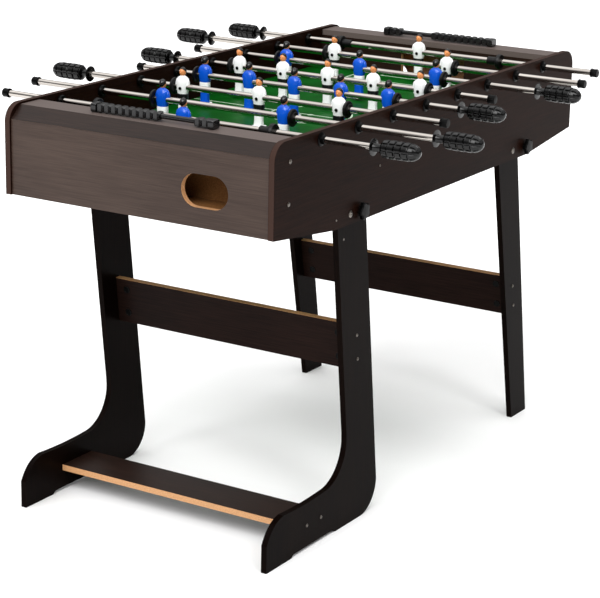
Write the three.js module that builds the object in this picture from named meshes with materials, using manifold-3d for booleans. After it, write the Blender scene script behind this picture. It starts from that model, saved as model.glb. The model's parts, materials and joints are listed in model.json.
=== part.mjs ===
// Folding foosball table: a box of foil-faced boards on two folding leg frames, with eight
// steel rods, twenty-two men and two sliding score counters.
// Millimetres, +Z up. Origin: centre of the footprint on the floor. +X runs along the table from
// the end with the curved legs to the end with the straight legs, and the rods run along Y.
import * as THREE from "three";
import { mergeVertices } from "three/addons/utils/BufferGeometryUtils.js";
import Module from "manifold-3d";

const wasm = await Module();
wasm.setup();

// ---- driving dimensions ----
const LENGTH = 1220; // over the side panels
const WIDTH = 604; // over the side panels
const HEIGHT = 814; // floor to the top edge of the side panels
const BOARD = 12; // thickness of every structural board
const GAP = 0.3; // left between touching pieces

const PANEL_END_Z = 640; // lower edge of a side panel at its ends
const PANEL_MID_Z = 616; // lower edge of a side panel between its kinks
const PANEL_KINK_X = 398;
const PANEL_CORNER_R = 35;

const END_FACE_X = 606; // outer face of an end panel
const END_TOP_Z = 786; // where an end panel meets the sloping fascia
const RETURN_Y = 152; // centre of the ball return hole from the table's centre line
const RETURN_Z = 708;
const RETURN_HALF = 20; // half the straight part of the hole
const RETURN_R = 31;

const RAIL_Z = 810; // top of the end rails
const RAIL_OUT_X = 577;
const RAIL_IN_X = 520; // inner face of the goal walls
const FIELD_Z = 730; // playing surface
const FIELD_THICK = 5;
const GOAL_HALF = 80;
const GOAL_TOP_Z = 776;
const TRAY_Z = 674; // floor of the ball tray behind a goal
const TRAY_THICK = 5;

const ROD_R = 6.35;
const ROD_WALL = 1.2;
const ROD_Z = 797;
const ROD_PITCH = 130;
const ROD_BORE_R = 6.85; // hole through the side panel
const HANDLE_LENGTH = 97;
const HANDLE_SLEEVE = 62; // how far the rod reaches into its handle

const LEG_IN = 0.6; // gap between a curved leg and its side panel
const NEAR_PIVOT = [-344, 636]; // x, z of the curved frame's pivot
const FAR_PIVOT = [330, 636]; // x, z of the straight frame's pivot
const NEAR_KNOB_X = -293;
const FAR_KNOB_X = 386;
const NEAR_LEAN = 0.125; // metres along X for each metre down

// ---- materials ----
const paint = (color, roughness, metalness = 0) => ({ color, roughness, metalness });
const WENGE = paint(0x33231f, 0.55);
const RAW_MDF = paint(0xc08a52, 0.85);
const STEEL = paint(0xc4c4c2, 0.2, 1);
const BLACK = paint(0x151515, 0.35);
const TURF = paint(0x1e8a3c, 0.6);
const BLUE = paint(0x1f5fd0, 0.35);
const WHITE = paint(0xf1f1ef, 0.35);

const table = new THREE.Group();

function add(name, geometry, look, group = table) {
  const mesh = new THREE.Mesh(geometry, new THREE.MeshStandardMaterial(look));
  mesh.name = name;
  group.add(mesh);
  return mesh;
}

// ---- solids and booleans ----
function solid(geometry) {
  const bare = geometry.index ? geometry.toNonIndexed() : geometry.clone();
  bare.deleteAttribute("normal");
  bare.deleteAttribute("uv");
  const merged = mergeVertices(bare, 1e-3);
  return new wasm.Manifold(
    new wasm.Mesh({
      numProp: 3,
      vertProperties: merged.attributes.position.array,
      triVerts: new Uint32Array(merged.index.array),
    }),
  );
}

function geometryOf(manifold) {
  const mesh = manifold.getMesh();
  const geometry = new THREE.BufferGeometry();
  geometry.setAttribute("position", new THREE.BufferAttribute(mesh.vertProperties, 3));
  geometry.setIndex(new THREE.BufferAttribute(mesh.triVerts, 1));
  return geometry;
}

const cut = (body, ...tools) =>
  geometryOf(tools.reduce((left, tool) => left.subtract(solid(tool)), solid(body)));
const join = (body, ...more) =>
  geometryOf(more.reduce((sum, piece) => sum.add(solid(piece)), solid(body)));

// ---- basic shapes ----
function box(x0, x1, y0, y1, z0, z1) {
  const geometry = new THREE.BoxGeometry(x1 - x0, y1 - y0, z1 - z0);
  return geometry.translate((x0 + x1) / 2, (y0 + y1) / 2, (z0 + z1) / 2);
}

// An outline in the XZ plane, as wide as y0 to y1.
function plateXZ(shape, y0, y1, curveSegments = 10) {
  const geometry = new THREE.ExtrudeGeometry(shape, {
    depth: y1 - y0,
    bevelEnabled: false,
    curveSegments,
  });
  return geometry.rotateX(Math.PI / 2).translate(0, y1, 0);
}

// An outline in the YZ plane, as thick as x0 to x1.
function plateYZ(shape, x0, x1, curveSegments = 10) {
  const geometry = new THREE.ExtrudeGeometry(shape, {
    depth: x1 - x0,
    bevelEnabled: false,
    curveSegments,
  });
  return geometry.rotateX(Math.PI / 2).rotateZ(Math.PI / 2).translate(x0, 0, 0);
}

function outline(points) {
  return new THREE.Shape(points.map(([a, b]) => new THREE.Vector2(a, b)));
}

function rodAlongY(radius, y0, y1, x, z, segments = 20) {
  const geometry = new THREE.CylinderGeometry(radius, radius, y1 - y0, segments);
  return geometry.translate(x, (y0 + y1) / 2, z);
}

// A ring-shaped or solid turned piece about the Y axis, from (radius, y) points.
function turned(profile, segments) {
  return new THREE.LatheGeometry(
    profile.map(([r, y]) => new THREE.Vector2(r, y)),
    segments,
  );
}

// ---- box of the table ----
const rodX = (rod) => (rod - 4.5) * ROD_PITCH;

function sidePanel(side) {
  const x = LENGTH / 2;
  const r = PANEL_CORNER_R;
  const shape = new THREE.Shape();
  shape.moveTo(-x, PANEL_END_Z);
  shape.lineTo(-PANEL_KINK_X, PANEL_MID_Z);
  shape.lineTo(PANEL_KINK_X, PANEL_MID_Z);
  shape.lineTo(x, PANEL_END_Z);
  shape.lineTo(x, HEIGHT - r);
  shape.absarc(x - r, HEIGHT - r, r, 0, Math.PI / 2, false);
  shape.absarc(-x + r, HEIGHT - r, r, Math.PI / 2, Math.PI, false);
  const y0 = side > 0 ? WIDTH / 2 - BOARD : -WIDTH / 2;
  const bores = [];
  for (let rod = 1; rod <= 8; rod++) {
    bores.push(rodAlongY(ROD_BORE_R, y0 - 2, y0 + BOARD + 2, rodX(rod), ROD_Z, 24));
  }
  return cut(plateXZ(shape, y0, y0 + BOARD, 9), ...bores);
}

const INSIDE_Y = WIDTH / 2 - BOARD - GAP;

// The end with the curved legs is end -1. Its ball return hole is on the -Y half, and the
// other end's is on the +Y half, so each player finds it on the same hand.
function endPanel(end) {
  const shape = outline([
    [-INSIDE_Y, PANEL_END_Z],
    [INSIDE_Y, PANEL_END_Z],
    [INSIDE_Y, END_TOP_Z],
    [-INSIDE_Y, END_TOP_Z],
  ]);
  const y = end * RETURN_Y;
  const hole = new THREE.Path();
  hole.absarc(y - RETURN_HALF, RETURN_Z, RETURN_R, Math.PI / 2, (3 * Math.PI) / 2, false);
  hole.absarc(y + RETURN_HALF, RETURN_Z, RETURN_R, -Math.PI / 2, Math.PI / 2, false);
  shape.holes.push(hole);
  const outer = end * END_FACE_X;
  const inner = end * (END_FACE_X - BOARD);
  return plateYZ(shape, Math.min(outer, inner), Math.max(outer, inner), 12);
}

function goalWall(end) {
  const low = FIELD_Z + GAP;
  const high = RAIL_Z - BOARD - GAP;
  const shape = outline([
    [-INSIDE_Y, low],
    [-GOAL_HALF, low],
    [-GOAL_HALF, GOAL_TOP_Z],
    [GOAL_HALF, GOAL_TOP_Z],
    [GOAL_HALF, low],
    [INSIDE_Y, low],
    [INSIDE_Y, high],
    [-INSIDE_Y, high],
  ]);
  const inner = end * RAIL_IN_X;
  const outer = end * (RAIL_IN_X + BOARD);
  return plateYZ(shape, Math.min(outer, inner), Math.max(outer, inner));
}

// A foil-wrapped profile: the flat rail on top and the fascia that slopes down to the end panel.
function topRail(end) {
  const under = RAIL_Z - BOARD;
  const points = [
    [END_FACE_X, END_TOP_Z + GAP],
    [RAIL_OUT_X, RAIL_Z],
    [RAIL_IN_X, RAIL_Z],
    [RAIL_IN_X, under],
    [RAIL_OUT_X - 5, under],
    [END_FACE_X - BOARD - 6, END_TOP_Z + GAP],
  ];
  return plateXZ(outline(points.map(([x, z]) => [end * x, z])), -INSIDE_Y, INSIDE_Y);
}

// The floor that the ball drops to behind a goal, with the upright that closes it under the field.
function ballTray(end) {
  const out = END_FACE_X - BOARD - GAP;
  const wall = RAIL_IN_X + BOARD;
  const top = FIELD_Z - FIELD_THICK - GAP;
  const points = [
    [out, TRAY_Z - TRAY_THICK],
    [out, TRAY_Z],
    [wall, TRAY_Z],
    [wall, top],
    [wall - TRAY_THICK, top],
    [wall - TRAY_THICK, TRAY_Z - TRAY_THICK],
  ];
  return plateXZ(outline(points.map(([x, z]) => [end * x, z])), -INSIDE_Y, INSIDE_Y);
}

function playfield() {
  const x = RAIL_IN_X + BOARD;
  return box(-x, x, -INSIDE_Y, INSIDE_Y, FIELD_Z - FIELD_THICK, FIELD_Z);
}

// ---- score counters: a bar on two end blocks, with beads that slide along it ----
const COUNTER_X = (RAIL_OUT_X + RAIL_IN_X) / 2;
const COUNTER_HALF = 138;
const BLOCK = 12; // length of an end block
const BEAD = 15.9; // pitch of the beads
const PACK_BEADS = 9; // beads pushed together at one end
const REST_BEADS = 2; // beads left at the other end
const BEAD_HALF_X = 11;
const BEAD_LOW_Z = 812.5;
const BEAD_TOP_Z = 827;
const BAR_Z = 820;
const BAR_R = 5;

// Side view of a row of beads: a flat base and one blunt tooth for each bead.
function beadRow(y0, count) {
  const points = [
    [y0, BEAD_LOW_Z],
    [y0 + count * BEAD, BEAD_LOW_Z],
  ];
  for (let i = count - 1; i >= 0; i--) {
    const y = y0 + i * BEAD;
    points.push([y + BEAD, BEAD_TOP_Z - 4], [y + BEAD * 0.7, BEAD_TOP_Z]);
    points.push([y + BEAD * 0.3, BEAD_TOP_Z]);
  }
  points.push([y0, BEAD_TOP_Z - 4]);
  return plateYZ(outline(points), -BEAD_HALF_X, BEAD_HALF_X);
}

function endBlock(y0) {
  return box(-BEAD_HALF_X - 1, BEAD_HALF_X + 1, y0, y0 + BLOCK, RAIL_Z + GAP, BEAD_TOP_Z + 1);
}

function scoreBar() {
  const y = COUNTER_HALF;
  const bar = rodAlongY(BAR_R, -y + 2, y - 2, 0, BAR_Z, 12);
  return join(bar, endBlock(-y), endBlock(y - BLOCK), beadRow(-y + BLOCK, REST_BEADS));
}

function scoreBeads() {
  const y1 = COUNTER_HALF - BLOCK - GAP;
  const row = beadRow(y1 - PACK_BEADS * BEAD, PACK_BEADS);
  return cut(row, rodAlongY(BAR_R + 0.4, -COUNTER_HALF, COUNTER_HALF, 0, BAR_Z, 12));
}

// ---- rods, men and handles ----
const HEAD_R = 8;
const HEAD_UP = 33; // head centre above the rod
const FOOT_DOWN = 61; // sole below the rod

// One man, hanging from the rod's axis at the origin and looking along +X.
function man() {
  const torso = plateYZ(
    outline([
      [-11, -15],
      [11, -15],
      [14.5, -4],
      [16.5, 14],
      [13, 21],
      [5, 24],
      [-5, 24],
      [-13, 21],
      [-16.5, 14],
      [-14.5, -4],
    ]),
    -10.5,
    10.5,
  );
  const legs = plateYZ(
    outline([
      [-8, -52],
      [8, -52],
      [11, -28],
      [12, -14],
      [-12, -14],
      [-11, -28],
    ]),
    -7,
    7,
  );
  const foot = plateXZ(
    outline([
      [-11, -FOOT_DOWN],
      [11, -FOOT_DOWN],
      [12.5, -FOOT_DOWN + 6],
      [8, -48],
      [-8, -48],
      [-12.5, -FOOT_DOWN + 6],
    ]),
    -11,
    11,
  );
  const neck = new THREE.CylinderGeometry(4.5, 4.5, 10, 8).rotateX(Math.PI / 2);
  neck.translate(0, 0, 24);
  const head = new THREE.SphereGeometry(HEAD_R, 10, 7).scale(1, 0.95, 1.12);
  head.rotateX(Math.PI / 2).translate(0, 0, HEAD_UP);
  const body = join(torso, legs, foot, neck, head);
  return cut(body, rodAlongY(ROD_R + 0.4, -20, 20, 0, 0, 16));
}

function rodTube(y0, y1) {
  const inner = ROD_R - ROD_WALL;
  const profile = [
    [inner, y0],
    [ROD_R, y0],
    [ROD_R, y1],
    [inner, y1],
    [inner, y0],
  ];
  return turned(profile, 20);
}

// A handle from its flange at y = 0 to its domed end, pushed over the end of the rod.
function handle() {
  const bore = ROD_R + 0.4;
  const profile = [
    [bore, 0],
    [13, 0],
    [14, 3],
    [9.5, 8],
    [9.5, 16],
    [15.5, 22],
    [17, 40],
    [17, 78],
    [14, 90],
    [7, HANDLE_LENGTH],
    [0, HANDLE_LENGTH],
    [0, HANDLE_SLEEVE + 3],
    [bore, HANDLE_SLEEVE + 3],
    [bore, 0],
  ];
  return turned(profile, 16);
}

// For each rod: the men's places, how far out the handle's flange and the capped end are, which
// side the handle is on (-1 is the -Y side) and which team's men it carries.
const FIVE = { men: [-218, -109, 0, 109, 218], flange: 378, end: 388 };
const THREE_MEN = { men: [-183, 0, 183], flange: 415, end: 421 };
const TWO = { men: [-140, 140], flange: 465, end: 462 };
const ONE = { men: [0], flange: 409, end: 431 };
const RODS = [
  { ...ONE, side: -1, blue: true },
  { ...TWO, side: -1, blue: true },
  { ...THREE_MEN, side: 1, blue: false },
  { ...FIVE, side: -1, blue: true },
  { ...FIVE, side: 1, blue: false },
  { ...THREE_MEN, side: -1, blue: true },
  { ...TWO, side: 1, blue: false },
  { ...ONE, side: 1, blue: false },
];

function addRod(number, spec) {
  const group = new THREE.Group();
  group.position.set(rodX(number), 0, ROD_Z);
  table.add(group);
  const handleEnd = spec.flange + HANDLE_SLEEVE;
  const y0 = spec.side < 0 ? -handleEnd : -spec.end;
  const y1 = spec.side < 0 ? spec.end : handleEnd;
  add(`rod_${number}`, rodTube(y0, y1), STEEL, group);
  spec.men.forEach((y, i) => {
    const mesh = add(`man_${number}_${i + 1}`, man(), spec.blue ? BLUE : WHITE, group);
    mesh.position.y = y;
    mesh.rotation.z = spec.blue ? 0 : Math.PI;
  });
  const grip = add(`handle_${number}`, handle(), BLACK, group);
  grip.position.y = spec.side * spec.flange;
  grip.rotation.z = spec.side < 0 ? Math.PI : 0;
}

// ---- leg frames ----
const NEAR_LEG_Y = WIDTH / 2 - BOARD - LEG_IN; // outer face of a curved leg
const FAR_LEG_Y = NEAR_LEG_Y - BOARD - LEG_IN; // outer face of a straight leg
const LEG_TOP_Z = 676;

function mirroredPlate(shape, side, outerY, segments) {
  const y0 = side > 0 ? outerY - BOARD : -outerY;
  return plateXZ(shape, y0, y0 + BOARD, segments);
}

// The hockey-stick leg: a leaning post with a long foot towards the table's end, hollowed
// under the instep so that it stands on a toe pad and a heel pad.
function curvedLeg(side) {
  const front = (z) => -366 + NEAR_LEAN * (590 - z);
  const back = (z) => -262 + NEAR_LEAN * (604 - z);
  const shape = new THREE.Shape();
  shape.moveTo(-597, 0);
  shape.lineTo(-510, 0);
  shape.lineTo(-503, 6);
  shape.lineTo(-360, 6);
  shape.lineTo(-351, 0);
  shape.lineTo(-257, 0);
  shape.absarc(-257, 62, 62, -Math.PI / 2, 0, false);
  shape.lineTo(back(LEG_TOP_Z - 14), LEG_TOP_Z - 14);
  shape.quadraticCurveTo(back(LEG_TOP_Z), LEG_TOP_Z, back(LEG_TOP_Z) - 14, LEG_TOP_Z);
  shape.lineTo(front(LEG_TOP_Z) + 14, LEG_TOP_Z);
  shape.quadraticCurveTo(front(LEG_TOP_Z), LEG_TOP_Z, front(LEG_TOP_Z - 14), LEG_TOP_Z - 14);
  shape.lineTo(front(187), 187);
  shape.absarc(-395.5, 177, 80, 0.124, -Math.PI / 2, true);
  shape.quadraticCurveTo(-470, 92, -541, 97);
  shape.quadraticCurveTo(-578, 92, -597, 54);
  return mirroredPlate(shape, side, NEAR_LEG_Y, 10);
}

// The straight leg, with the round spacers that keep it clear of the side panel.
function straightLeg(side) {
  const front = (z) => 318 + 0.1987 * (604 - z);
  const back = (z) => 408 + 0.1656 * (604 - z);
  const shape = new THREE.Shape();
  shape.moveTo(front(0), 0);
  shape.lineTo(back(0), 0);
  shape.lineTo(back(LEG_TOP_Z - 14), LEG_TOP_Z - 14);
  shape.quadraticCurveTo(back(LEG_TOP_Z), LEG_TOP_Z, back(LEG_TOP_Z) - 14, LEG_TOP_Z);
  shape.lineTo(front(LEG_TOP_Z) + 14, LEG_TOP_Z);
  shape.quadraticCurveTo(front(LEG_TOP_Z), LEG_TOP_Z, front(LEG_TOP_Z - 14), LEG_TOP_Z - 14);
  const plate = mirroredPlate(shape, side, FAR_LEG_Y, 5);
  const face = WIDTH / 2 - BOARD - GAP;
  const y0 = side > 0 ? FAR_LEG_Y - 1 : -face;
  const y1 = side > 0 ? face : -FAR_LEG_Y + 1;
  const spacers = [FAR_PIVOT[0], FAR_KNOB_X].map((x) => rodAlongY(13, y0, y1, x, FAR_PIVOT[1]));
  return join(plate, ...spacers);
}

// A board across a leg frame, standing on edge and leaning with the legs.
function crossBoard(x, z, height, lean, outerY) {
  const y = outerY - BOARD - GAP;
  const board = box(-BOARD / 2, BOARD / 2, -y, y, -height / 2, height / 2);
  return board.rotateY(-Math.atan(lean)).translate(x, 0, z);
}

function footShelf() {
  const y = NEAR_LEG_Y - BOARD - GAP;
  return box(-480, -384, -y, y, 43, 55);
}

// ---- assembly ----
add("side_panel_right", sidePanel(-1), WENGE);
add("side_panel_left", sidePanel(1), WENGE);
for (const [name, end] of [
  ["near", -1],
  ["far", 1],
]) {
  add(`end_panel_${name}`, endPanel(end), WENGE);
  add(`goal_wall_${name}`, goalWall(end), WENGE);
  add(`top_rail_${name}`, topRail(end), WENGE);
  add(`ball_tray_${name}`, ballTray(end), RAW_MDF);
  const counter = new THREE.Group();
  counter.position.x = end * COUNTER_X;
  counter.rotation.z = end < 0 ? 0 : Math.PI;
  table.add(counter);
  add(`score_bar_${name}`, scoreBar(), BLACK, counter);
  add(`score_beads_${name}`, scoreBeads(), BLACK, counter);
}
add("playfield", playfield(), TURF);

RODS.forEach((spec, i) => addRod(i + 1, spec));

for (const [name, side] of [
  ["right", -1],
  ["left", 1],
]) {
  add(`curved_leg_${name}`, curvedLeg(side), WENGE);
  add(`straight_leg_${name}`, straightLeg(side), WENGE);
}
add("near_cross_board", crossBoard(-285, 359, 95, NEAR_LEAN, NEAR_LEG_Y), WENGE);
add("far_cross_board", crossBoard(416, 291, 92, 0.182, FAR_LEG_Y), WENGE);
add("foot_shelf", footShelf(), WENGE);

export default table;
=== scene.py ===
"""Foosball table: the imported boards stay, and the turned, moulded and painted pieces are made here."""

import json
import math

import bpy
import numpy as np
from mathutils import Matrix, Vector


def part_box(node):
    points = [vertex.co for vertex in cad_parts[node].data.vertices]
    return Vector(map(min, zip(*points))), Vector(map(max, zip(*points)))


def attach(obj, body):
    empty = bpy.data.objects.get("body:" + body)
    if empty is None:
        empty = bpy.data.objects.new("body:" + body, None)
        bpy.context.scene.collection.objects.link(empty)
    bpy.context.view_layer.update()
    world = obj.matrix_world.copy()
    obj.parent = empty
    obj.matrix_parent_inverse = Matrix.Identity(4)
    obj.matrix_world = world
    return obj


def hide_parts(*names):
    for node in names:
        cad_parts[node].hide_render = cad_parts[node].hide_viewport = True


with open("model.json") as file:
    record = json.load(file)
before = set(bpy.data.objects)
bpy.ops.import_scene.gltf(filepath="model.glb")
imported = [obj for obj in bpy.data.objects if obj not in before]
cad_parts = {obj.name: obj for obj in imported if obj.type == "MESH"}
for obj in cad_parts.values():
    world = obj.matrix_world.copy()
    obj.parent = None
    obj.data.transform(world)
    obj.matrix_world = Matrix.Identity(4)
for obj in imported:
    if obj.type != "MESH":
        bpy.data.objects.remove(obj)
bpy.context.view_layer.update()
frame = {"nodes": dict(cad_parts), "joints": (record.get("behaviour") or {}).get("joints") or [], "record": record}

MM = 0.001
SIDES = (-1, 1)  # right side of the table, then left

# ---- driving sizes, in metres: some from the frame, the rest places of drawn fittings ----
rods = range(1, 9)
panel_low, panel_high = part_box("side_panel_right")
PANEL_OUT = -panel_low.y  # outer face of a side panel, from the middle
PANEL_IN = -panel_high.y
BEARING_FACE = PANEL_IN - 7 * MM  # inner end of a bearing collar
LEG_FACE = -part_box("curved_leg_right")[0].y
STRAIGHT_FACE = LEG_FACE - 12.6 * MM
NEAR_PIVOT = np.array([-0.344, 0.636])  # x, z
FAR_PIVOT = np.array([0.330, 0.636])
NEAR_KNOB_X = -0.308
FAR_KNOB_X = 0.386
SUNK_SCREW = (-0.345, 0.585)  # x, z on a curved leg
BOARD = 12 * MM
NEAR_BOARD = (np.array([-0.285, 0.359]), 0.125, 47.5 * MM)  # centre x, z, lean and half height
FAR_BOARD = (np.array([0.416, 0.291]), 0.182, 46 * MM)
RAIL_FLAT = 0.577  # a rail is flat inside this distance from the middle and slopes outside it
SKIN_DEPTH = 0.4 * MM  # how far from a coated face the raw board begins
END_FACE = -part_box("end_panel_near")[0].x
GOAL_FACE = -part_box("goal_wall_near")[1].x
SHELF_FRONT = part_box("foot_shelf")[0].x
BUMPER_GAP = 0.2  # mm left between bumper and bearing at full travel
COVER_INSET = 0.0255  # from a leg's inner face to a cam cover's centre
CIRCLE_RADIUS = 0.085
GOAL_AREA = (0.475, 0.105)  # distance from the middle where it starts, half width
PENALTY_AREA = (0.412, 0.160)
ARC_CENTRE = 0.450
SLIDING_BEADS = 9
RESTING_BEADS = 2
CAMERA_PLACE = (-3.642, -2.227, 1.602)


# ---- materials ----
def linear(code):
    """sRGB hex to linear RGBA: c / 12.92 near black, ((c + 0.055) / 1.055) ^ 2.4 above."""
    c = np.array([int(code[i : i + 2], 16) for i in (0, 2, 4)]) / 255
    return (*np.where(c <= 0.04045, c / 12.92, ((c + 0.055) / 1.055) ** 2.4), 1.0)


def add_node(tree, kind, inputs=None, **settings):
    """Adds a node, sets its properties, and sets or links each named input."""
    node = tree.nodes.new(kind)
    for name, value in settings.items():
        setattr(node, name, value)
    for key, value in (inputs or {}).items():
        if isinstance(value, bpy.types.NodeSocket):
            tree.links.new(value, node.inputs[key])
        else:
            node.inputs[key].default_value = value
    return node


def new_material(name, roughness, **shader_values):
    """An empty tree with a Principled shader, its output and the object's own coordinates."""
    material = bpy.data.materials.new(name)
    material.use_nodes = True
    tree = material.node_tree
    tree.nodes.clear()
    values = {"Roughness": roughness, **shader_values}
    shader = add_node(tree, "ShaderNodeBsdfPrincipled", values)
    add_node(tree, "ShaderNodeOutputMaterial", {"Surface": shader.outputs[0]})
    place = add_node(tree, "ShaderNodeTexCoord").outputs["Object"]
    return material, tree, shader, place


def noise(tree, place, size, detail=3):
    """Noise whose features are about size = (x, y, z) metres."""
    stretched = add_node(tree, "ShaderNodeMapping", {"Vector": place, "Scale": [1 / s for s in size]})
    inputs = {"Vector": stretched.outputs[0], "Scale": 1.0, "Detail": detail}
    return add_node(tree, "ShaderNodeTexNoise", inputs).outputs["Fac"]


def between(tree, factor, low, high, start=0.3, end=0.7):
    """Colour that runs from low to high as factor goes from start to end."""
    ramp = add_node(tree, "ShaderNodeValToRGB", {"Fac": factor})
    first, last = ramp.color_ramp.elements
    first.position, last.position = start, end
    first.color, last.color = low, high
    return ramp.outputs["Color"]


def mix(tree, factor, a, b):
    node = add_node(tree, "ShaderNodeMix", {"Factor": factor}, data_type="RGBA")
    for socket, value in ((node.inputs[6], a), (node.inputs[7], b)):
        if isinstance(value, bpy.types.NodeSocket):
            tree.links.new(value, socket)
        else:
            socket.default_value = value
    return node.outputs[2]


def math_node(tree, operation, *values):
    return add_node(tree, "ShaderNodeMath", dict(enumerate(values)), operation=operation).outputs[0]


def bump(tree, shader, height, depth, strength=0.4):
    made = add_node(tree, "ShaderNodeBump", {"Height": height, "Distance": depth, "Strength": strength})
    tree.links.new(made.outputs["Normal"], shader.inputs["Normal"])


def raw_board(tree, place):
    """Cut fibreboard: tan with 2 mm speckle from its pressed fibres."""
    return between(tree, noise(tree, place, [2 * MM] * 3), linear("a5744a"), linear("d3a478"))


def wood_foil(name, grain, dark, light, gloss, raw=None, edge=None):
    """Printed wenge foil, satin: fine streaks run along the grain over broad soft clouds.

    The real streaks are under 1 mm apart, so they are drawn 1.7 mm apart and 70 mm long to show.
    gloss is the specular level. raw is a function of (tree, place) that gives 1 where the board is
    uncoated. edge is another such function and the colour that it brings; that colour is partly painted
    light: a painted sheen on the side panels' edge banding, a painted reflection on the rails' flat tops.
    """
    material, tree, shader, place = new_material(name, 0.36, **{"IOR": 1.5, "Specular IOR Level": gloss})
    fine = [1.7 * MM] * 3
    broad = [120 * MM] * 3
    fine[grain], broad[grain] = 70 * MM, 300 * MM
    streaks = noise(tree, place, fine, 2)
    clouds = noise(tree, place, broad, 2)
    blended = math_node(tree, "MULTIPLY_ADD", clouds, 0.4, math_node(tree, "MULTIPLY", streaks, 0.6))
    colour = between(tree, blended, linear(dark), linear(light), 0.34, 0.66)
    if edge:
        mask, edge_and_sheen_colour = edge
        colour = mix(tree, mask(tree, place), colour, linear(edge_and_sheen_colour))
    if raw:
        colour = mix(tree, raw(tree, place), colour, raw_board(tree, place))
    tree.links.new(colour, shader.inputs["Base Color"])
    bump(tree, shader, streaks, 0.08 * MM, 0.2)
    return material


def axis_value(tree, place, axis):
    return add_node(tree, "ShaderNodeSeparateXYZ", {0: place}).outputs[axis]


def closer_than(axis, limit):
    """1 where the distance from the middle along an axis is under limit."""

    def mask(tree, place):
        distance = math_node(tree, "ABSOLUTE", axis_value(tree, place, axis))
        return math_node(tree, "LESS_THAN", distance, limit)

    return mask


def farther_than(axis, limit):
    """1 where the distance from the middle along an axis is over limit."""

    def mask(tree, place):
        distance = math_node(tree, "ABSOLUTE", axis_value(tree, place, axis))
        return math_node(tree, "GREATER_THAN", distance, limit)

    return mask


def below(axis, limit):
    def mask(tree, place):
        return math_node(tree, "LESS_THAN", axis_value(tree, place, axis), limit)

    return mask


def banding_and_sheen(tree, place):
    """1 between a side panel's two faces, which is on its edge banding; the colour put there is the banding's
    brown lightened as a painted sheen.
    """
    distance = math_node(tree, "ABSOLUTE", axis_value(tree, place, 1))
    middle = (PANEL_OUT + PANEL_IN) / 2
    return math_node(tree, "COMPARE", distance, middle, BOARD / 2 - SKIN_DEPTH)


def board_direction(lean):
    """Unit vector up a leaning cross board, in x and z."""
    up = np.array([-lean, 1.0])
    return up / np.linalg.norm(up)


def top_edge(board):
    """1 on a leaning board's top edge: the height along its lean is within 0.4 mm of the edge."""
    centre, lean, half_height = board
    up = board_direction(lean)

    def mask(tree, place):
        middle, direction = (centre[0], 0, centre[1]), (up[0], 0, up[1])
        offset = add_node(tree, "ShaderNodeVectorMath", {0: place, 1: middle}, operation="SUBTRACT")
        inputs = {0: offset.outputs[0], 1: direction}
        along = add_node(tree, "ShaderNodeVectorMath", inputs, operation="DOT_PRODUCT")
        return math_node(tree, "GREATER_THAN", along.outputs["Value"], half_height - SKIN_DEPTH)

    return mask


def moulded_plastic(name, code, roughness, gloss=0.5):
    """Injection-moulded plastic: even colour, soft sheen of level gloss and a faint orange-peel skin."""
    values = {"IOR": 1.49, "Specular IOR Level": gloss}
    material, tree, shader, place = new_material(name, roughness, **values)
    skin_noise = noise(tree, place, [1.2 * MM] * 3)
    base = np.array(linear(code))
    shade = between(tree, noise(tree, place, [25 * MM] * 3), tuple(base * [0.9, 0.9, 0.9, 1]), tuple(base))
    tree.links.new(shade, shader.inputs["Base Color"])
    bump(tree, shader, skin_noise, 0.04 * MM, 0.3)
    return material


def chromed_tube():
    """Chromed steel tube: mirror-bright, with drawing streaks along Y that break the highlight."""
    material, tree, shader, place = new_material("chromed_tube", 0.07, Metallic=1.0)
    streaks = noise(tree, place, [1.5 * MM, 120 * MM, 1.5 * MM])
    tree.links.new(between(tree, streaks, linear("a39d97"), linear("d3ccc5")), shader.inputs["Base Color"])
    bump(tree, shader, streaks, 0.02 * MM, 0.2)
    return material


def blackened_zinc():
    """Blackened zinc screw: dark metal that shows as a small glint, with 3 mm mottling."""
    material, tree, shader, place = new_material("blackened_zinc_screw", 0.3, Metallic=1.0)
    mottled = noise(tree, place, [3 * MM] * 3)
    tree.links.new(between(tree, mottled, linear("45413d"), linear("8a837b")), shader.inputs["Base Color"])
    return material


def field_print():
    """Printed field: green with 4 mm pale lines, each a distance compared with its line's place."""
    values = {"IOR": 1.5, "Specular IOR Level": 0.03}
    material, tree, shader, place = new_material("printed_field", 0.4, **values)
    half = 2 * MM
    x, y = (math_node(tree, "ABSOLUTE", axis_value(tree, place, i)) for i in (0, 1))

    def centre_distance(px):
        dx = math_node(tree, "SUBTRACT", x, px)
        squares = [math_node(tree, "MULTIPLY", value, value) for value in (dx, y)]
        return math_node(tree, "SQRT", math_node(tree, "ADD", *squares))

    def outline_box(depth_x, half_y):
        """Edge of the area with |x| over depth_x and |y| under half_y."""
        past_x, past_y = math_node(tree, "SUBTRACT", depth_x, x), math_node(tree, "SUBTRACT", y, half_y)
        inside = math_node(tree, "MAXIMUM", past_x, past_y)
        return math_node(tree, "COMPARE", inside, 0.0, half)

    arc = math_node(tree, "COMPARE", centre_distance(ARC_CENTRE), CIRCLE_RADIUS, half)
    lines = [
        math_node(tree, "LESS_THAN", x, half),
        math_node(tree, "COMPARE", centre_distance(0.0), CIRCLE_RADIUS, half),
        math_node(tree, "LESS_THAN", centre_distance(0.0), 6 * MM),
        outline_box(*PENALTY_AREA),
        outline_box(*GOAL_AREA),
        math_node(tree, "MULTIPLY", arc, math_node(tree, "LESS_THAN", x, PENALTY_AREA[0])),
    ]
    drawn = lines[0]
    for line in lines[1:]:
        drawn = math_node(tree, "MAXIMUM", drawn, line)
    green = between(tree, noise(tree, place, [60 * MM] * 3), linear("03400a"), linear("085716"))
    tree.links.new(mix(tree, drawn, green, linear("b9cdb6")), shader.inputs["Base Color"])
    return material


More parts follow.
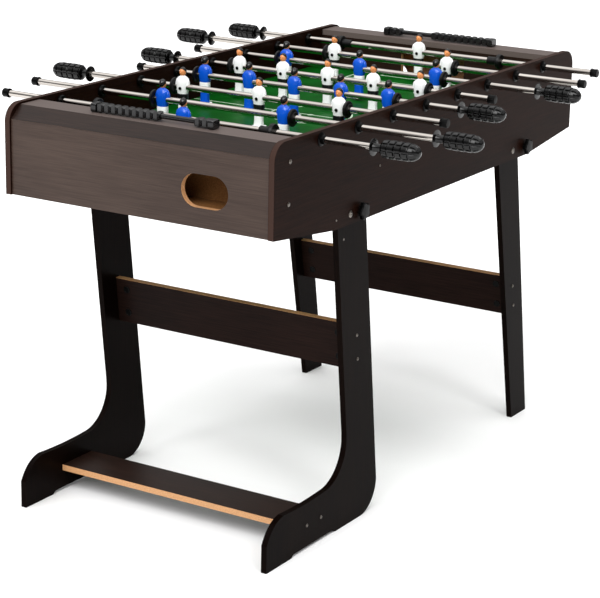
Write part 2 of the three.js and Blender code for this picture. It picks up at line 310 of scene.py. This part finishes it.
def tray_board_painted_shade():
    """Tray board: brown pressed fibre, darker than raw board as painted shade inside the ball holes; dull, with
    fine fibres that catch a little light.
    """
    material, tree, shader, place = new_material("tray_board_painted_shade", 0.8, **{"Specular IOR Level": 0.1})
    fibres = noise(tree, place, [1.5 * MM] * 3)
    tree.links.new(between(tree, fibres, linear("5a3a1e"), linear("835a33")), shader.inputs["Base Color"])
    bump(tree, shader, fibres, 0.2 * MM)
    return material


CHROME = chromed_tube()
ZINC = blackened_zinc()
GRIP = moulded_plastic("moulded_grip", "020202", 0.2, 0.35)
RUBBER = moulded_plastic("moulded_rubber", "080808", 0.4, 0.25)
BLACK_ABS = moulded_plastic("black_abs", "040404", 0.3, 0.08)
COUNTER_ABS = moulded_plastic("counter_abs", "111112", 0.22)
SKIN = moulded_plastic("painted_skin", "f09a5c", 0.35)
HAIR = moulded_plastic("painted_hair", "0b0908", 0.2)
BLUE_PAINT = moulded_plastic("blue_paint", "0a55cf", 0.18)
WHITE_PAINT = moulded_plastic("white_paint", "ffffff", 0.25)
BLACK_PAINT = moulded_plastic("black_paint", "0b0b0c", 0.3)
TEAM_PAINTS = {
    "blue_men": [BLUE_PAINT, WHITE_PAINT, BLUE_PAINT, WHITE_PAINT],
    "white_men": [WHITE_PAINT, BLACK_PAINT, WHITE_PAINT, WHITE_PAINT],
}  # shirt, shorts, socks, foot

end_raw = closer_than(0, END_FACE - SKIN_DEPTH)
goal_raw = farther_than(0, GOAL_FACE + SKIN_DEPTH)
# The rails' flat tops are a lighter grey as a painted reflection of the light from above; the sloping part keeps
# the darker foil.
rail_top_reflection = (closer_than(0, RAIL_FLAT), "5f5450")
# Each board has its own copy of the one wenge foil: the end panels' lighter copy is painted light, and the legs'
# near-black copy is painted shade.
BOARD_MATERIALS = {
    # The side panels' edge banding is its own brown lightened as a painted sheen.
    "side_panel_right": wood_foil("side_foil", 0, "120805", "21110b", 0.02, edge=(banding_and_sheen, "3a2b26")),
    "end_panel_near": wood_foil("end_foil_painted_light", 1, "30231d", "42342d", 0.25, end_raw),
    "top_rail_near": wood_foil("rail_foil", 1, "170e0b", "291c17", 0.2, edge=rail_top_reflection),
    "goal_wall_near": wood_foil("goal_foil", 1, "1a0f0b", "2f1e18", 0.2, goal_raw),
    # The tray is darker than raw board: painted shade inside the ball holes.
    "ball_tray_near": tray_board_painted_shade(),
    "playfield": field_print(),
    "curved_leg_right": wood_foil("leg_foil_painted_shade", 2, "050202", "100805", 0.02),
    "near_cross_board": wood_foil("near_board_foil", 1, "130b09", "231612", 0.04, top_edge(NEAR_BOARD)),
    "far_cross_board": wood_foil("far_board_foil", 1, "130b09", "231612", 0.03, top_edge(FAR_BOARD)),
    "foot_shelf": wood_foil("shelf_foil", 1, "150c09", "2b1c16", 0.2, below(0, SHELF_FRONT + SKIN_DEPTH)),
}
for twin, original in (
    ("side_panel_left", "side_panel_right"),
    ("end_panel_far", "end_panel_near"),
    ("top_rail_far", "top_rail_near"),
    ("goal_wall_far", "goal_wall_near"),
    ("ball_tray_far", "ball_tray_near"),
    ("curved_leg_left", "curved_leg_right"),
    ("straight_leg_right", "curved_leg_right"),
    ("straight_leg_left", "curved_leg_right"),
):
    BOARD_MATERIALS[twin] = BOARD_MATERIALS[original]
for node, material in BOARD_MATERIALS.items():
    slots = frame["nodes"][node].material_slots
    for place_in_list in range(len(slots)):
        slots[place_in_list].material = material


# ---- surfaces ----
def skin(rings, ring_wrap=False):
    """Rings of points, (rows, around, 3), joined by quads.

    With ring_wrap the last ring joins the first, as on a torus; otherwise each end closes on
    its ring's centre.
    """
    rows, around, _ = rings.shape
    verts = rings.reshape(-1, 3)
    row = np.arange(rows if ring_wrap else rows - 1)[:, None]
    here, there = row * around, ((row + 1) % rows) * around
    j = np.arange(around)
    k = (j + 1) % around
    faces = np.stack([here + j, here + k, there + k, there + j], -1).reshape(-1, 4).tolist()
    if not ring_wrap:
        last = (rows - 1) * around
        verts = np.vstack([verts, rings[0].mean(0), rings[-1].mean(0)])
        first_cap = np.stack([k, j, np.full(around, rows * around)], -1)
        last_cap = np.stack([last + j, last + k, np.full(around, rows * around + 1)], -1)
        faces += first_cap.tolist() + last_cap.tolist()
    return outward(verts, faces)


def outward(verts, faces):
    """Turns every face round if the closed surface's signed volume is negative."""
    triangles = np.array([[f[0], f[i], f[i + 1]] for f in faces for i in range(1, len(f) - 1)])
    a, b, c = (verts[triangles[:, i]] for i in range(3))
    if np.einsum("ij,ij->i", a, np.cross(b, c)).sum() < 0:
        faces = [f[::-1] for f in faces]
    return verts, faces


def turned(profile, origin, axis=(0, 1, 0), around=48, lobes=None, ring_wrap=False):
    """Solid of revolution: origin + h * axis + r * lobes(angle, h) * (cos, sin) across the axis.

    profile is a list of (r, h) in millimetres.
    """
    r, h = np.array(profile, float).T * MM
    angle = np.linspace(0, 2 * math.pi, around, endpoint=False)
    axis = np.array(axis, float)
    side = np.cross(axis, (0, 0, 1.0) if abs(axis[2]) < 0.9 else (1.0, 0, 0))
    side /= np.linalg.norm(side)
    other = np.cross(axis, side)
    radius = r[:, None] * np.ones(around)
    if lobes:
        radius = radius * lobes(angle[None, :], h[:, None] / MM)
    across = np.cos(angle)[:, None] * side + np.sin(angle)[:, None] * other
    rings = np.array(origin) + h[:, None, None] * axis + radius[..., None] * across[None]
    return skin(rings, ring_wrap)


def lofted(levels, around=36):
    """Superellipse sections stacked along Z, in millimetres.

    Each level is (z, middle x, half x, half y, power): x and y follow cos and sin raised to
    2 / power with their signs kept.
    """
    z, middle, half_x, half_y, power = np.array(levels, float).T[:, :, None]
    angle = np.linspace(0, 2 * math.pi, around, endpoint=False)
    c, s = np.cos(angle), np.sin(angle)
    x = middle + half_x * np.sign(c) * np.abs(c) ** (2 / power)
    y = half_y * np.sign(s) * np.abs(s) ** (2 / power)
    return skin(np.stack([x, y, z + 0 * x], -1))


def ellipsoid(centre, radii, lowest=None, rows=14, around=28):
    """Ellipsoid in millimetres. lowest(azimuth) is how far down from the pole the surface goes."""
    azimuth = np.linspace(0, 2 * math.pi, around, endpoint=False)[None, :]
    deepest = math.pi if lowest is None else lowest(azimuth)
    polar = np.linspace(0.03, 0.99, rows)[:, None] * deepest
    unit = np.stack(
        [np.sin(polar) * np.cos(azimuth), np.sin(polar) * np.sin(azimuth), np.cos(polar) + 0 * azimuth], -1
    )
    return skin(np.array(centre) + unit * np.array(radii))


def add_piece(name, parts, body, replaces=(), sharp=38):
    """One mesh from (verts, faces, material) parts, in metres, riding on a body."""
    verts, faces, indices, materials, start = [], [], [], [], 0
    for part_verts, part_faces, material in parts:
        if material not in materials:
            materials.append(material)
        verts.append(part_verts)
        faces += [[i + start for i in f] for f in part_faces]
        indices += [materials.index(material)] * len(part_faces)
        start += len(part_verts)
    mesh = bpy.data.meshes.new(name)
    mesh.from_pydata(np.vstack(verts).tolist(), [], faces)
    for material in materials:
        mesh.materials.append(material)
    mesh.polygons.foreach_set("material_index", indices)
    mesh.shade_smooth()
    mesh.set_sharp_from_angle(angle=math.radians(sharp))
    mesh.update()
    made = bpy.data.objects.new(name, mesh)
    bpy.context.scene.collection.objects.link(made)
    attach(made, body)
    if replaces:
        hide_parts(*replaces)
    return made


# ---- rods, bumpers, caps, bearings and grips ----
def rod_place(rod):
    low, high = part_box(f"rod_{rod}")
    return (low.x + high.x) / 2, (low.z + high.z) / 2, low.y, high.y


def men_on(rod):
    return sorted(n for n in frame["nodes"] if n.startswith(f"man_{rod}_"))


def travel(rod):
    joint = next(j for j in frame["joints"] if j["name"] == f"rod_{rod}_push")
    return joint["range_m"][1]


def add_rod(rod):
    """A plain tube with 0.8 mm chamfers at its ends."""
    x, z, y0, y1 = rod_place(rod)
    length = (y1 - y0) / MM
    profile = [(5.6, 0), (6.35, 0.8), (6.35, length - 0.8), (5.6, length)]
    tube = turned(profile, (x, y0, z))
    add_piece(f"steel_rod_{rod}", [(*tube, CHROME)], f"rod_{rod}_slide", [f"rod_{rod}"])


def add_bumpers(rod):
    """Rubber on each side: a sleeve and disc beside a lone man, a disc and stub otherwise.

    At full travel the outer face stops BUMPER_GAP short of the bearing.
    """
    x, z, _, _ = rod_place(rod)
    outer = (BEARING_FACE - travel(rod)) / MM - BUMPER_GAP
    if len(men_on(rod)) == 1:
        profile = [(6.5, -32), (9, -31.5), (9, -10), (15, -9), (16, -7.8), (16, -1.3), (15, 0), (6.5, 0)]
    else:
        profile = [(6.5, -9.4), (15.5, -9.2), (17, -8), (17, -4.4), (15.8, -3.2), (11.5, -2.8), (11.5, -0.7)]
        profile += [(10.8, 0), (6.5, 0)]
    for side in SIDES:
        ring = turned(profile, (x, side * outer * MM, z), (0, side, 0), ring_wrap=True)
        name = f"bumper_{rod}_{'right' if side < 0 else 'left'}"
        add_piece(name, [(*ring, RUBBER)], f"rod_{rod}_slide")


def add_end_cap(rod):
    """A 15 mm cap with twelve lengthwise ribs: the radius rises by 6 % on each rib."""
    x, z, y0, y1 = rod_place(rod)
    handle_side = 1 if sum(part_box(f"handle_{rod}"), Vector()).y > 0 else -1
    end = y0 if handle_side > 0 else y1

    def ribs(angle, h):
        return 1 + 0.06 * (np.cos(12 * angle) > 0) * (h > -12) * (h < -1)

    profile = [(6.5, -15), (9.2, -14.8), (9.2, -12.2), (8.4, -12), (8.4, -1.5), (7.6, 0), (0.3, 0.4)]
    cap = turned(profile, (x, end, z), (0, -handle_side, 0), 72, ribs)
    add_piece(f"end_cap_{rod}", [(*cap, BLACK_ABS)], f"rod_{rod}_slide")


def add_bearings(rod):
    """Flanged bush: outside a flange of 12.7 mm radius and a nose 10 mm proud, inside a 7 mm collar."""
    x, z, _, _ = rod_place(rod)
    outside = [(6.9, 0.1), (12.7, 0.1), (12.7, 1.2), (11.6, 2.2), (8.8, 2.6), (8.2, 9)]
    outside += [(7.2, 10), (6.9, 10)]
    inside = [(6.9, 0.1), (11.5, 0.1), (11.5, 5.5), (10.5, 7), (6.9, 7)]
    for side in SIDES:
        outer = turned(outside, (x, side * PANEL_OUT, z), (0, side, 0), ring_wrap=True)
        inner = turned(inside, (x, side * PANEL_IN, z), (0, -side, 0), ring_wrap=True)
        name = "right" if side < 0 else "left"
        add_piece(f"bearing_flange_{rod}_{name}", [(*outer, BLACK_ABS)], "table")
        add_piece(f"bearing_collar_{rod}_{name}", [(*inner, BLACK_ABS)], "table")


def grip_blocks(angle, h):
    """Radius factor of the grip, angle in radians and h in millimetres.

    Grooves 3 to 4 mm wide run round it every 14 mm and along it in eight places, 15 % deep.
    """
    turns = (h - 22) / 14
    ring = np.abs(turns - np.round(turns)) * 14
    eighths = angle * 8 / (2 * math.pi)
    along = np.abs(eighths - np.round(eighths)) * 13.3
    groove = np.maximum(np.clip((2.1 - ring) / 0.9, 0, 1) * (h < 84), np.clip((1.9 - along) / 0.9, 0, 1))
    return 1 - 0.15 * groove * (h > 21) * np.clip((95 - h) / 7, 0, 1)


def add_handle(rod):
    """Flange, narrow neck, barrel and dome, with the barrel cut into blocks."""
    low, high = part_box(f"handle_{rod}")
    side = 1 if (low + high).y > 0 else -1
    x, z, _, _ = rod_place(rod)
    base = min(abs(low.y), abs(high.y))
    length = (high.y - low.y) / MM
    outline_h = [0, 0.8, 2.2, 3, 6, 18, 21, 24, 40, 76, 85, 91.5, 95.5, length]
    outline_r = [14, 16, 16, 8.5, 7.4, 7.6, 13.5, 16, 17, 16.6, 14.8, 10.8, 6, 0.3]
    h = np.unique(np.concatenate([outline_h, np.linspace(21, 96, 110)]))
    profile = np.stack([np.interp(h, outline_h, outline_r), h], -1)
    grip = turned(profile, (x, side * base, z), (0, side, 0), 128, grip_blocks)
    add_piece(f"grip_{rod}", [(*grip, GRIP)], f"rod_{rod}_turn", [f"handle_{rod}"], sharp=30)


# ---- men ----
def man_parts():
    """A moulded figure facing +X with the rod through its middle, as (surface, paint place)."""
    shirt = lofted(
        [
            (-14, 0, 8, 11, 2.6),
            (-8, 0, 9, 11.8, 2.6),
            (0, 0, 10.2, 13, 2.5),
            (8, 0, 10, 13.4, 2.4),
            (13, 0, 9.4, 13.6, 2.4),
            (17, 0, 8.2, 12.6, 2.4),
            (20, 0, 6.6, 9.8, 2.2),
            (22, 0, 5.2, 6.2, 2),
            (23.5, 0, 4.3, 4.5, 2),
        ]
    )
    arms = [ellipsoid((0.5, side * 13, 4), (4.8, 3.3, 13)) for side in SIDES]
    shorts = lofted(
        [(-29, 0, 7.6, 10.8, 3), (-27, 0, 8, 11.2, 3), (-15, 0, 8.2, 11.4, 2.8), (-13, 0, 8, 11, 2.6)]
    )
    socks = lofted(
        [(-57.5, 0, 7.4, 9.6, 4), (-46, 0, 6.4, 9, 3.4), (-36, 0, 6.4, 9.4, 3), (-28, 0, 6.8, 10, 3)]
    )
    foot = lofted(
        [(-61, 0, 11, 12.4, 7), (-60.6, 0, 11.4, 12.8, 7), (-57, 0, 11.4, 12.8, 7), (-56.4, 0, 10.6, 12, 6)]
    )
    neck = lofted([(22, 0, 4.4, 4.4, 2), (28, 0, 4, 4, 2)])
    head = ellipsoid((0.4, 0, 30.4), (7.2, 6.6, 9))
    nose = ellipsoid((7.4, 0, 29.2), (1.3, 1.1, 1.6), rows=8, around=12)
    eyes = [ellipsoid((6.8, side * 2.6, 31.3), (0.9, 0.8, 0.6), rows=6, around=10) for side in SIDES]

    def hairline(azimuth):
        """Down 48 degrees at the face and 118 degrees at the nape."""
        return np.radians(48 + 70 * (0.5 - 0.5 * np.cos(azimuth)))

    hair = ellipsoid((0, 0, 30.5), (8, 7.4, 9.9), hairline)
    verts, faces = turned([(2.9, -1), (3.4, 0), (3.4, 1), (2.6, 1.8), (0.3, 1.8)], (0, 0, 0), (1, 0, 0), 24)
    screw = (verts / MM + np.array([10, 0, -2]), faces)
    pieces = [(shirt, 0), (arms[0], 0), (arms[1], 0), (shorts, 1), (socks, 2), (foot, 3)]
    pieces += [(neck, 4), (head, 4), (nose, 4), (hair, 5), (eyes[0], 5), (eyes[1], 5), (screw, 6)]
    return pieces


MAN = man_parts()


def add_man(node, rod):
    """The figure moved to its place on the rod; the white team is turned half a turn about Z."""
    low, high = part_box(node)
    x, z, _, _ = rod_place(rod)
    team = next(s["material_slot"] for s in frame["record"]["subparts"] if s["node"] == node)
    facing = 1 if team == "blue_men" else -1
    paints = [*TEAM_PAINTS[team], SKIN, HAIR, BLACK_ABS]
    turn = np.array([facing, facing, 1.0])
    place = np.array([x, (low.y + high.y) / 2, z])
    parts = [(verts * turn * MM + place, faces, paints[paint]) for (verts, faces), paint in MAN]
    add_piece(f"player_{node[4:]}", parts, f"rod_{rod}_turn", [node], sharp=50)


for rod in rods:
    add_rod(rod)
    add_bumpers(rod)
    add_end_cap(rod)
    add_bearings(rod)
    add_handle(rod)
    for man in men_on(rod):
        add_man(man, rod)


# ---- score counters ----
def counter_block(sections, x, z, half_x, half_z):
    """Sections stacked along Y: each (y, scale) is a superellipse of half_x by half_z times scale."""
    around, power = 28, 5
    y, scale = np.array(sections, float).T[:, :, None]
    angle = np.linspace(0, 2 * math.pi, around, endpoint=False) + math.pi / around
    c, s = np.cos(angle), np.sin(angle)
    px = x + scale * half_x * np.sign(c) * np.abs(c) ** (2 / power)
    pz = z + scale * half_z * np.sign(s) * np.abs(s) ** (2 / power)
    return skin(np.stack([px, y + 0 * px, pz], -1))


def bead_at(y, pitch, x, z):
    """A bead with a square middle whose corners are cut back to 60 % at its ends.

    Eight points go round: four corners and the four middles of the sides. The cut leaves
    triangular facets, so a row of beads shows a zigzag.
    """
    share = np.array([-0.49, -0.26, 0.26, 0.49])[:, None]
    angle = np.arange(8) * math.pi / 4
    corner = np.arange(8) % 2
    scale = 1 - (np.abs(share) > 0.4) * (0.06 + 0.34 * corner)
    px = x + 10.4 * MM * scale * np.round(1.2 * np.cos(angle))
    pz = z + 7 * MM * scale * np.round(1.2 * np.sin(angle))
    return skin(np.stack([px, y + share * pitch + 0 * px, pz], -1))


def add_counter(end):
    bar_low, bar_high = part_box(f"score_bar_{end}")
    row_low, row_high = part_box(f"score_beads_{end}")
    x = (bar_low.x + bar_high.x) / 2
    z = (row_low.z + row_high.z) / 2
    pack_side = 1 if (row_low + row_high).y > 0 else -1
    half = bar_high.y
    pitch = (row_high.y - row_low.y) / SLIDING_BEADS
    block = half - max(abs(row_low.y), abs(row_high.y))
    row_start = row_low.y + pitch / 2
    row = [bead_at(row_start + i * pitch, pitch, x, z) for i in range(SLIDING_BEADS)]
    add_piece(
        f"sliding_beads_{end}",
        [(*bead, COUNTER_ABS) for bead in row],
        f"{end}_score_row",
        [f"score_beads_{end}"],
        sharp=20,
    )
    resting = [-pack_side * (half - block - (i + 0.5) * pitch) for i in range(RESTING_BEADS)]
    rest = [bead_at(y, pitch, x, z) for y in resting]
    reach = half / MM - 3  # the bar ends inside its blocks
    rail = turned([(4.6, -reach), (5, 1 - reach), (5, reach - 1), (4.6, reach)], (x, 0, z))
    block_z = (bar_low.z + bar_high.z) / 2
    block_half = (bar_high.z - bar_low.z) / 2
    blocks = []
    for side in SIDES:
        inner, outer = side * (half - block), side * half
        steps = [(inner, 0.94), (inner + side * MM, 1), (outer - side * 2 * MM, 1), (outer, 0.88)]
        blocks.append(counter_block(steps, x, block_z, 12 * MM, block_half))
    parts = [(*shape, COUNTER_ABS) for shape in (rail, *rest, *blocks)]
    add_piece(f"counter_bar_{end}", parts, "table", [f"score_bar_{end}"], sharp=20)


for end in ("near", "far"):
    add_counter(end)


# ---- fasteners ----
def screw_head(origin, axis, radius, rise=1.7):
    """Domed head with a dimple in the middle, rise mm high."""
    outline = [(0.9, 0.03), (1, 0.3), (0.8, 0.76), (0.35, 1), (0.2, 0.6), (0.05, 0.55)]
    return turned([(radius * r, rise * h) for r, h in outline], origin, axis, 28)


def knob(origin, axis):
    """Five-lobed locking knob on a short hub: the radius swings by 12 %."""

    def lobes(angle, h):
        return 1 + 0.12 * np.cos(5 * angle) * (h > 3)

    profile = [(7, 0.1), (7, 3), (13, 3.6), (15.5, 5), (15.5, 10.5), (13.5, 12.6), (6, 13.2), (0.3, 13.2)]
    return turned(profile, origin, axis, 60, lobes)


def cam_cover(centre, axis):
    """Cam-lock cover disc with a shallow ring."""
    return turned([(7.5, 0.05), (7.5, 0.9), (6.2, 1.1), (5.6, 0.6), (0.3, 0.6)], centre, axis, 36)


panel_screws = [(-0.559, 0.775, 4.5), (-0.562, 0.698, 4.5), (-0.239, 0.709, 2.2), (-0.396, 0.634, 2.2)]
pivots = [(*NEAR_PIVOT, 7), (*FAR_PIVOT, 7)]
curved_leg_bolts = [(-0.287, 0.383, 3.6), (-0.282, 0.334, 3.6)]
curved_leg_bolts += [(-0.457, 0.049, 3.6), (-0.406, 0.049, 3.6)]
straight_leg_bolts = [(0.4118, 0.314, 3.6), (0.4202, 0.268, 3.6)]

for side in SIDES:
    name = "right" if side < 0 else "left"
    outward_axis = (0, side, 0)
    for group, places, face, body in (
        ("panel_screws", panel_screws, PANEL_OUT, "table"),
        ("pivot_bolts", pivots, PANEL_OUT, "table"),
        ("curved_leg_bolts", curved_leg_bolts, LEG_FACE, "near_leg_frame"),
        ("straight_leg_bolts", straight_leg_bolts, STRAIGHT_FACE, "far_leg_frame"),
    ):
        heads = [(*screw_head((x, side * face, z), outward_axis, r), ZINC) for x, z, r in places]
        add_piece(f"{group}_{name}", heads, body)
    # almost flush, since it folds past the side panel with 0.6 mm between them
    sunk = screw_head((SUNK_SCREW[0], side * LEG_FACE, SUNK_SCREW[1]), outward_axis, 2.2, rise=0.4)
    add_piece(f"sunk_leg_screw_{name}", [(*sunk, ZINC)], "near_leg_frame")
    for end, x in (("near", NEAR_KNOB_X), ("far", FAR_KNOB_X)):
        shape = knob((x, side * PANEL_OUT, NEAR_PIVOT[1]), outward_axis)
        add_piece(f"locking_knob_{end}_{name}", [(*shape, BLACK_ABS)], "table")

for end, (centre, lean, _), spread in (("near", NEAR_BOARD, 25), ("far", FAR_BOARD, 24)):
    up = board_direction(lean)
    out = np.array([-up[1], up[0]])  # square to the board, away from its back
    face_y = (LEG_FACE if end == "near" else STRAIGHT_FACE) - BOARD
    covers = []
    for side in SIDES:
        for step in (-spread, spread):
            x, z = centre + up * step * MM + out * BOARD / 2
            spot = (x, side * (face_y - COVER_INSET), z)
            covers.append((*cam_cover(spot, (out[0], 0, out[1])), BLACK_ABS))
    add_piece(f"cam_covers_{end}", covers, f"{end}_leg_frame")


# ---- floor, light and camera ----
def add_floor():
    """A pale sheet, 60 m across, with a faint 40 cm mottling."""
    material, tree, shader, place = new_material("pale_floor", 0.7)
    soft = between(tree, noise(tree, place, [0.4] * 3), linear("f9f9f9"), linear("ffffff"))
    tree.links.new(soft, shader.inputs["Base Color"])
    mesh = bpy.data.meshes.new("floor")
    mesh.from_pydata([(-30, -30, 0), (30, -30, 0), (30, 30, 0), (-30, 30, 0)], [], [(0, 1, 2, 3)])
    mesh.materials.append(material)
    floor = bpy.data.objects.new("floor", mesh)
    bpy.context.scene.collection.objects.link(floor)


def add_soft_sun(name, place, spread, strength):
    """An even light from the direction of place whose disc is spread degrees wide, for soft shadows."""
    light = bpy.data.lights.new(name, "SUN")
    light.angle, light.energy = math.radians(spread), strength
    made = bpy.data.objects.new(name, light)
    made.location = place
    made.rotation_euler = (-Vector(place)).to_track_quat("-Z", "Y").to_euler()
    bpy.context.scene.collection.objects.link(made)


def add_world():
    """A studio that is bright overhead and dimmer at the walls, so that metal shows bands."""
    world = bpy.data.worlds.new("studio")
    world.use_nodes = True
    tree = world.node_tree
    direction = add_node(tree, "ShaderNodeTexCoord").outputs["Generated"]
    dim, bright = (0.14, 0.14, 0.14, 1), (1, 1, 1, 1)
    brightness = between(tree, axis_value(tree, direction, 2), dim, bright, 0.42, 0.76)
    tree.links.new(brightness, tree.nodes["Background"].inputs["Color"])
    tree.nodes["Background"].inputs["Strength"].default_value = 1.6
    bpy.context.scene.world = world


def add_camera():
    """Long lens from the curved-leg end and a little above, turned by yaw, pitch and roll."""
    yaw, pitch, roll = np.radians([32.32, -15.82, 0.91])
    level = math.cos(pitch)
    forward = np.array([level * math.cos(yaw), level * math.sin(yaw), math.sin(pitch)])
    right = np.array([math.sin(yaw), -math.cos(yaw), 0])
    up = np.cross(right, forward)
    right, up = (
        math.cos(roll) * right + math.sin(roll) * up,
        -math.sin(roll) * right + math.cos(roll) * up,
    )
    data = bpy.data.cameras.new("camera")
    data.lens, data.sensor_width = 127.05, 36
    data.shift_x, data.shift_y = 0.0397, -0.0442
    data.clip_end = 200
    camera = bpy.data.objects.new("camera", data)
    rows = [[right[i], up[i], -forward[i], CAMERA_PLACE[i]] for i in range(3)]
    camera.matrix_world = Matrix([*rows, [0, 0, 0, 1]])
    bpy.context.scene.collection.objects.link(camera)
    bpy.context.scene.camera = camera


add_floor()
add_world()
add_soft_sun("key", (-4.0, -0.4, 3.4), 40, 2.2)
add_soft_sun("side", (-2.0, -3.2, 3.4), 14, 0.5)
bpy.context.scene.view_settings.view_transform = "Standard"
add_camera()
